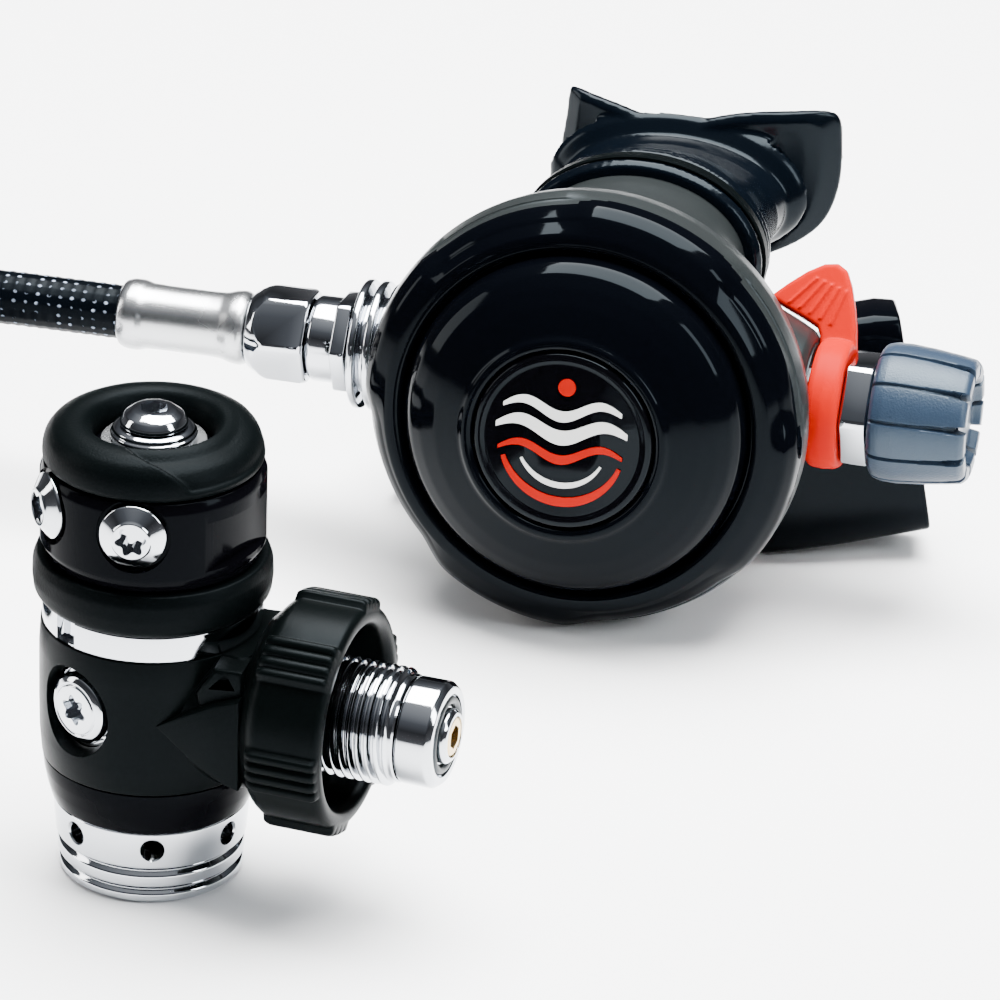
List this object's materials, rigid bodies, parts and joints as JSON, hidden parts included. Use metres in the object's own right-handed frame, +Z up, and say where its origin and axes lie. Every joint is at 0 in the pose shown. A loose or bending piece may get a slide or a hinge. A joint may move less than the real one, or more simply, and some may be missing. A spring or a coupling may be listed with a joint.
{
  "type": "scuba regulator set",
  "caption": "Scuba regulator set: a first stage with swivelling turret and DIN handwheel, and a second stage with purge cover, adjuster knob and braided hose wound in a coil.",
  "frame": {"origin": "centre of the flat base of the first stage's end cap, on the surface that the set lies on", "axes": "+Z up along the first stage axis, +X to the right and +Y away from the front, where the second stage lies behind the first"},
  "size_m": [0.3662, 0.2627, 0.0959],
  "materials": {
    "chrome": "polished chrome plate on brass",
    "ferrule_metal": "satin metal with fine turned marks",
    "steel": "plain stainless steel",
    "brass": "bare machined brass",
    "coated_metal": "glossy black coating",
    "gloss_black": "glossy black moulded plastic",
    "badge": "glossy disc with a plain printed ring pattern",
    "matte_black": "satin black moulded plastic",
    "rubber_black": "dull black rubber",
    "silicone_black": "soft glossy black silicone",
    "silicone_grey": "thin grey silicone",
    "seal_rubber": "black seal rubber",
    "red_plastic": "red-orange moulded plastic",
    "white_plastic": "off-white engineering plastic",
    "braid": "black woven braid with pale flecks"
  },
  "bodies": {
    "body": {"end_cap": "chrome", "first_stage_body": "chrome", "turret_bolt": "chrome", "end_port_plug": "chrome", "high_pressure_plug_1": "chrome", "high_pressure_plug_2": "chrome", "din_nose": "chrome", "barrel": "chrome", "knob_collar": "chrome", "heat_exchanger": "chrome", "inlet_fitting": "chrome", "hose_end_fitting": "chrome", "hose_ferrule": "ferrule_metal", "hose_end_ferrule": "ferrule_metal", "turret_washer": "ferrule_metal", "main_spring": "steel", "purge_spring": "steel", "valve_orifice": "steel", "poppet_spring": "steel", "orifice_crown": "brass", "inlet_filter": "brass", "filter_retainer": "brass", "lower_band": "gloss_black", "front_ring": "gloss_black", "exhaust_tee": "gloss_black", "body_sleeve": "matte_black", "second_stage_case": "matte_black", "hose_tie": "rubber_black", "mouthpiece_clamp": "rubber_black", "mouthpiece": "silicone_black", "diaphragm": "silicone_grey", "exhaust_valve": "silicone_grey", "turret_o_ring": "seal_rubber", "din_o_ring": "seal_rubber", "hose": "braid", "hose_coil": "braid"},
    "piston": {"piston": "steel", "piston_o_ring": "seal_rubber", "piston_seat": "white_plastic"},
    "turret": {"turret": "coated_metal", "turret_bumper": "rubber_black", "turret_cover": "rubber_black", "low_pressure_plug_1": "chrome", "low_pressure_plug_2": "chrome", "low_pressure_plug_3": "chrome", "low_pressure_plug_4": "chrome"},
    "din_wheel": {"din_wheel": "matte_black", "din_thread": "chrome"},
    "purge_cover": {"purge_cover": "gloss_black", "purge_badge": "badge"},
    "diaphragm_plate": {"diaphragm_plate": "steel"},
    "demand_lever": {"demand_lever": "steel"},
    "poppet": {"poppet": "white_plastic", "poppet_seat": "white_plastic"},
    "adjustment_knob": {"adjustment_knob": "matte_black"},
    "adjuster_spindle": {"adjuster_spindle": "brass"},
    "venturi_lever": {"venturi_lever": "red_plastic", "venturi_vane": "matte_black"},
    "hose_nut": {"hose_nut": "chrome"}
  },
  "joints": [
    {"name": "piston_slide", "type": "slide", "parent": "body", "child": "piston", "axis": [0, 0, 1], "range_m": [0, 0.0012], "stiffness_N_per_m": 8000, "springref_m": -0.004, "deforming": ["main_spring"]},
    {"name": "turret_swivel", "type": "hinge", "parent": "body", "child": "turret", "pos_m": [0, 0, 0.07], "axis": [0, 0, 1], "continuous": true},
    {"name": "din_wheel_turn", "type": "hinge", "parent": "body", "child": "din_wheel", "pos_m": [0, 0, 0.0394], "axis": [0.9336, -0.3584, 0], "continuous": true},
    {"name": "purge_press", "type": "slide", "parent": "body", "child": "purge_cover", "axis": [0.2571, 0.9595, -0.1149], "range_m": [0, 0.004], "stiffness_N_per_m": 600, "springref_m": -0.004, "deforming": ["purge_spring", "diaphragm"]},
    {"name": "diaphragm_travel", "type": "slide", "parent": "body", "child": "diaphragm_plate", "axis": [0.2571, 0.9595, -0.1149], "range_m": [0, 0.004]},
    {"name": "demand_lever_swing", "type": "hinge", "parent": "body", "child": "demand_lever", "pos_m": [0.08922, 0.1228, 0.04452], "axis": [-0.0297, -0.111, -0.9934], "range_deg": [0, 14]},
    {"name": "poppet_slide", "type": "slide", "parent": "body", "child": "poppet", "axis": [0.9659, -0.2588, 0], "range_m": [0, 0.001], "deforming": ["poppet_spring"]},
    {"name": "knob_turn", "type": "hinge", "parent": "body", "child": "adjustment_knob", "pos_m": [0.09174, 0.13221, 0.0434], "axis": [-0.9659, 0.2588, 0], "range_deg": [0, 720]},
    {"name": "spindle_travel", "type": "slide", "parent": "body", "child": "adjuster_spindle", "axis": [-0.9659, 0.2588, 0], "range_m": [0, 0.0015]},
    {"name": "venturi_turn", "type": "hinge", "parent": "body", "child": "venturi_lever", "pos_m": [0.09174, 0.13221, 0.0434], "axis": [-0.9659, 0.2588, 0], "range_deg": [-30, 25]},
    {"name": "hose_nut_spin", "type": "hinge", "parent": "body", "child": "hose_nut", "pos_m": [0.09174, 0.13221, 0.0434], "axis": [0.9659, -0.2588, 0], "continuous": true}
  ],
  "couplings": [
    {"joint": "diaphragm_travel", "follows": "purge_press", "ratio": 1},
    {"joint": "demand_lever_swing", "follows": "purge_press", "rad_per_m": 58.8},
    {"joint": "poppet_slide", "follows": "purge_press", "ratio": 0.25},
    {"joint": "knob_turn", "follows": "spindle_travel", "rad_per_m": 8377.6}
  ]
}
